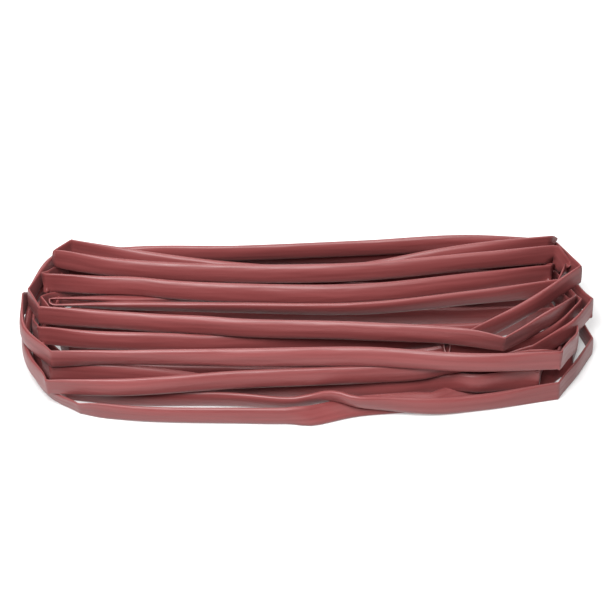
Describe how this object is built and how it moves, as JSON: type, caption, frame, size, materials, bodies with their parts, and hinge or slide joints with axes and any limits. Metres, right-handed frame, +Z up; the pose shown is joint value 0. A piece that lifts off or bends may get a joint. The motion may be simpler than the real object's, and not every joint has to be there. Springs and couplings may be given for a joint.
{
  "type": "heat shrink tube hank",
  "caption": "Length of flat heat shrink tubing, open at both ends, folded back and forth into a loose flat hank that lies on a surface.",
  "frame": {"origin": "centre of the hank's bounding box, at floor level", "axes": "+X along the hank's length, +Z up, the hank's front towards -Y"},
  "size_m": [0.4276, 0.162, 0.0658],
  "materials": {
    "tube": "satin polyolefin, red-brown, unprinted"
  },
  "bodies": {
    "root": {"heat_shrink_tube": "tube"}
  },
  "joints": []
}
